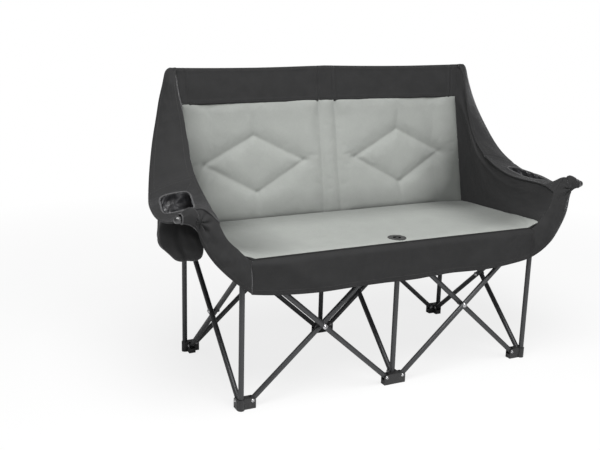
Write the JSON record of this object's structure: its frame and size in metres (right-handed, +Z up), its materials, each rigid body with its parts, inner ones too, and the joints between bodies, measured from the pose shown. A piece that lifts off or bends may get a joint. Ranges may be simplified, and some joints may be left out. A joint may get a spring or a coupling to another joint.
{
  "type": "folding camping loveseat",
  "caption": "Folding camping loveseat: padded fabric seat and back slung on a frame of crossed tubes, with curved fabric arms that each hold a cup pouch",
  "frame": {"origin": "on the floor, under the middle of the bounding box", "axes": "+X to the right as seen from the front, across the seat; +Y to the rear; +Z up"},
  "size_m": [1.4156, 0.5642, 0.9261],
  "materials": {
    "tube_paint": "dark grey powder coat, semi-gloss",
    "black_plastic": "black moulded plastic, satin",
    "bare_steel": "bright rivets and inner slide tubes",
    "black_cloth": "charcoal woven polyester",
    "grey_pad_cloth": "light grey padded polyester, quilted",
    "cup_lining": "dark coated lining, slightly glossy"
  },
  "bodies": {
    "front_middle_leg": {"foot_front_middle": "black_plastic", "leg_front_middle": "tube_paint"},
    "arm_right": {"arm_tube_right": "tube_paint", "arm_cap_right": "black_plastic", "rivet_front_right": "bare_steel", "armrest_right": "black_cloth", "cup_pouch_right": "cup_lining", "corner_panel_right": "black_cloth"},
    "front_cross_right": {"front_cross_tube_right": "tube_paint"},
    "front_leg_right": {"foot_front_right": "black_plastic", "leg_front_right": "tube_paint"},
    "front_hub_right": {"hub_front_right": "black_plastic", "slide_front_right": "bare_steel"},
    "arm_left": {"arm_tube_left": "tube_paint", "arm_cap_left": "black_plastic", "rivet_front_left": "bare_steel", "armrest_left": "black_cloth", "cup_pouch_left": "cup_lining", "corner_panel_left": "black_cloth"},
    "front_cross_left": {"front_cross_tube_left": "tube_paint"},
    "front_leg_left": {"foot_front_left": "black_plastic", "leg_front_left": "tube_paint"},
    "front_hub_left": {"hub_front_left": "black_plastic", "slide_front_left": "bare_steel"},
    "front_hub_middle": {"hub_front_middle": "black_plastic", "slide_front_middle": "bare_steel", "seat_pad": "grey_pad_cloth", "front_skirt": "black_cloth", "seat_badge": "black_cloth"},
    "depth_a_middle": {"middle_depth_tube_a": "tube_paint", "rivet_depth_middle": "bare_steel"},
    "depth_b_middle": {"middle_depth_tube_b": "tube_paint"},
    "rear_post_middle": {"foot_rear_middle": "black_plastic", "post_rear_middle": "tube_paint", "back_pad": "grey_pad_cloth", "back_header": "black_cloth"},
    "rear_hub_middle": {"hub_rear_middle": "black_plastic"},
    "rear_rising_right": {"rear_rising_tube_right": "tube_paint", "rivet_rear_right": "bare_steel"},
    "rear_cross_right": {"rear_cross_tube_right": "tube_paint"},
    "rear_post_right": {"foot_rear_right": "black_plastic", "post_rear_right": "tube_paint", "wing_right": "black_cloth", "side_panel_right": "black_cloth"},
    "rear_hub_right": {"hub_rear_right": "black_plastic"},
    "depth_a_right": {"right_depth_tube_a": "tube_paint", "rivet_depth_right": "bare_steel"},
    "depth_b_right": {"right_depth_tube_b": "tube_paint"},
    "rear_rising_left": {"rear_rising_tube_left": "tube_paint", "rivet_rear_left": "bare_steel"},
    "rear_cross_left": {"rear_cross_tube_left": "tube_paint"},
    "rear_post_left": {"foot_rear_left": "black_plastic", "post_rear_left": "tube_paint", "wing_left": "black_cloth", "side_panel_left": "black_cloth"},
    "rear_hub_left": {"hub_rear_left": "black_plastic"},
    "depth_a_left": {"left_depth_tube_a": "tube_paint", "rivet_depth_left": "bare_steel"},
    "depth_b_left": {"left_depth_tube_b": "tube_paint"}
  },
  "joints": [
    {"name": "fold", "type": "hinge", "parent": "front_middle_leg", "child": "arm_right", "pos_m": [0.028, -0.26273, 0.024], "axis": [0, -1, 0], "range_deg": [0, 38.15], "deforming": ["seat_pad", "front_skirt", "back_pad", "back_header", "wing_left", "wing_right", "armrest_left", "armrest_right", "cup_pouch_left", "cup_pouch_right", "side_panel_left", "side_panel_right", "corner_panel_left", "corner_panel_right"]},
    {"name": "front_crossing_right", "type": "hinge", "parent": "arm_right", "child": "front_cross_right", "pos_m": [0.248, -0.25443, 0.221], "axis": [0, -1, 0], "range_deg": [-76.3, 0]},
    {"name": "front_foot_right", "type": "hinge", "parent": "front_cross_right", "child": "front_leg_right", "pos_m": [0.468, -0.24613, 0.024], "axis": [0, -1, 0], "range_deg": [0, 38.15]},
    {"name": "front_hub_pin_right", "type": "hinge", "parent": "arm_right", "child": "front_hub_right", "pos_m": [0.468, -0.26273, 0.418], "axis": [0, -1, 0], "range_deg": [-38.15, 0]},
    {"name": "arm_foot_left", "type": "hinge", "parent": "front_middle_leg", "child": "arm_left", "pos_m": [-0.028, -0.26273, 0.024], "axis": [0, 1, 0], "range_deg": [0, 38.15]},
    {"name": "front_crossing_left", "type": "hinge", "parent": "arm_left", "child": "front_cross_left", "pos_m": [-0.248, -0.25443, 0.221], "axis": [0, 1, 0], "range_deg": [-76.3, 0]},
    {"name": "front_foot_left", "type": "hinge", "parent": "front_cross_left", "child": "front_leg_left", "pos_m": [-0.468, -0.24613, 0.024], "axis": [0, 1, 0], "range_deg": [0, 38.15]},
    {"name": "front_hub_pin_left", "type": "hinge", "parent": "arm_left", "child": "front_hub_left", "pos_m": [-0.468, -0.26273, 0.418], "axis": [0, 1, 0], "range_deg": [-38.15, 0]},
    {"name": "front_hub_pin_middle", "type": "hinge", "parent": "front_cross_right", "child": "front_hub_middle", "pos_m": [0.028, -0.24613, 0.418], "axis": [0, -1, 0], "range_deg": [0, 38.15]},
    {"name": "middle_depth_foot", "type": "hinge", "parent": "front_middle_leg", "child": "depth_a_middle", "pos_m": [0.0083, -0.23543, 0.024], "axis": [1, 0, 0], "range_deg": [0, 38.15]},
    {"name": "middle_depth_crossing", "type": "hinge", "parent": "depth_a_middle", "child": "depth_b_middle", "pos_m": [0, -0.01543, 0.221], "axis": [1, 0, 0], "range_deg": [-76.3, 0]},
    {"name": "rear_foot_middle", "type": "hinge", "parent": "depth_b_middle", "child": "rear_post_middle", "pos_m": [-0.0083, 0.20457, 0.024], "axis": [1, 0, 0], "range_deg": [0, 38.15]},
    {"name": "rear_hub_pin_middle", "type": "hinge", "parent": "depth_a_middle", "child": "rear_hub_middle", "pos_m": [0.0083, 0.20457, 0.418], "axis": [1, 0, 0], "range_deg": [-38.15, 0]},
    {"name": "rear_rising_foot_right", "type": "hinge", "parent": "rear_post_middle", "child": "rear_rising_right", "pos_m": [0.028, 0.20697, 0.024], "axis": [0, -1, 0], "range_deg": [0, 38.15]},
    {"name": "rear_crossing_right", "type": "hinge", "parent": "rear_rising_right", "child": "rear_cross_right", "pos_m": [0.248, 0.21527, 0.221], "axis": [0, -1, 0], "range_deg": [-76.3, 0]},
    {"name": "rear_foot_right", "type": "hinge", "parent": "rear_cross_right", "child": "rear_post_right", "pos_m": [0.468, 0.22357, 0.024], "axis": [0, -1, 0], "range_deg": [0, 38.15]},
    {"name": "rear_hub_pin_right", "type": "hinge", "parent": "rear_rising_right", "child": "rear_hub_right", "pos_m": [0.468, 0.20697, 0.418], "axis": [0, -1, 0], "range_deg": [-38.15, 0]},
    {"name": "right_depth_foot_a", "type": "hinge", "parent": "front_leg_right", "child": "depth_a_right", "pos_m": [0.505, -0.23543, 0.024], "axis": [1, 0, 0], "range_deg": [0, 38.15]},
    {"name": "right_depth_foot_b", "type": "hinge", "parent": "rear_post_right", "child": "depth_b_right", "pos_m": [0.4884, 0.20457, 0.024], "axis": [-1, 0, 0], "range_deg": [0, 38.15]},
    {"name": "rear_rising_foot_left", "type": "hinge", "parent": "rear_post_middle", "child": "rear_rising_left", "pos_m": [-0.028, 0.20697, 0.024], "axis": [0, 1, 0], "range_deg": [0, 38.15]},
    {"name": "rear_crossing_left", "type": "hinge", "parent": "rear_rising_left", "child": "rear_cross_left", "pos_m": [-0.248, 0.21527, 0.221], "axis": [0, 1, 0], "range_deg": [-76.3, 0]},
    {"name": "rear_foot_left", "type": "hinge", "parent": "rear_cross_left", "child": "rear_post_left", "pos_m": [-0.468, 0.22357, 0.024], "axis": [0, 1, 0], "range_deg": [0, 38.15]},
    {"name": "rear_hub_pin_left", "type": "hinge", "parent": "rear_rising_left", "child": "rear_hub_left", "pos_m": [-0.468, 0.20697, 0.418], "axis": [0, 1, 0], "range_deg": [-38.15, 0]},
    {"name": "left_depth_foot_a", "type": "hinge", "parent": "front_leg_left", "child": "depth_a_left", "pos_m": [-0.505, -0.23543, 0.024], "axis": [1, 0, 0], "range_deg": [0, 38.15]},
    {"name": "left_depth_foot_b", "type": "hinge", "parent": "rear_post_left", "child": "depth_b_left", "pos_m": [-0.4884, 0.20457, 0.024], "axis": [-1, 0, 0], "range_deg": [0, 38.15]}
  ],
  "couplings": [
    {"joint": "front_crossing_right", "follows": "fold", "ratio": -2},
    {"joint": "front_foot_right", "follows": "fold", "ratio": 1},
    {"joint": "front_hub_pin_right", "follows": "fold", "ratio": -1},
    {"joint": "arm_foot_left", "follows": "fold", "ratio": 1},
    {"joint": "front_crossing_left", "follows": "fold", "ratio": -2},
    {"joint": "front_foot_left", "follows": "fold", "ratio": 1},
    {"joint": "front_hub_pin_left", "follows": "fold", "ratio": -1},
    {"joint": "front_hub_pin_middle", "follows": "fold", "ratio": 1},
    {"joint": "middle_depth_foot", "follows": "fold", "ratio": 1},
    {"joint": "middle_depth_crossing", "follows": "fold", "ratio": -2},
    {"joint": "rear_foot_middle", "follows": "fold", "ratio": 1},
    {"joint": "rear_hub_pin_middle", "follows": "fold", "ratio": -1},
    {"joint": "rear_rising_foot_right", "follows": "fold", "ratio": 1},
    {"joint": "rear_crossing_right", "follows": "fold", "ratio": -2},
    {"joint": "rear_foot_right", "follows": "fold", "ratio": 1},
    {"joint": "rear_hub_pin_right", "follows": "fold", "ratio": -1},
    {"joint": "right_depth_foot_a", "follows": "fold", "ratio": 1},
    {"joint": "right_depth_foot_b", "follows": "fold", "ratio": 1},
    {"joint": "rear_rising_foot_left", "follows": "fold", "ratio": 1},
    {"joint": "rear_crossing_left", "follows": "fold", "ratio": -2},
    {"joint": "rear_foot_left", "follows": "fold", "ratio": 1},
    {"joint": "rear_hub_pin_left", "follows": "fold", "ratio": -1},
    {"joint": "left_depth_foot_a", "follows": "fold", "ratio": 1},
    {"joint": "left_depth_foot_b", "follows": "fold", "ratio": 1}
  ]
}
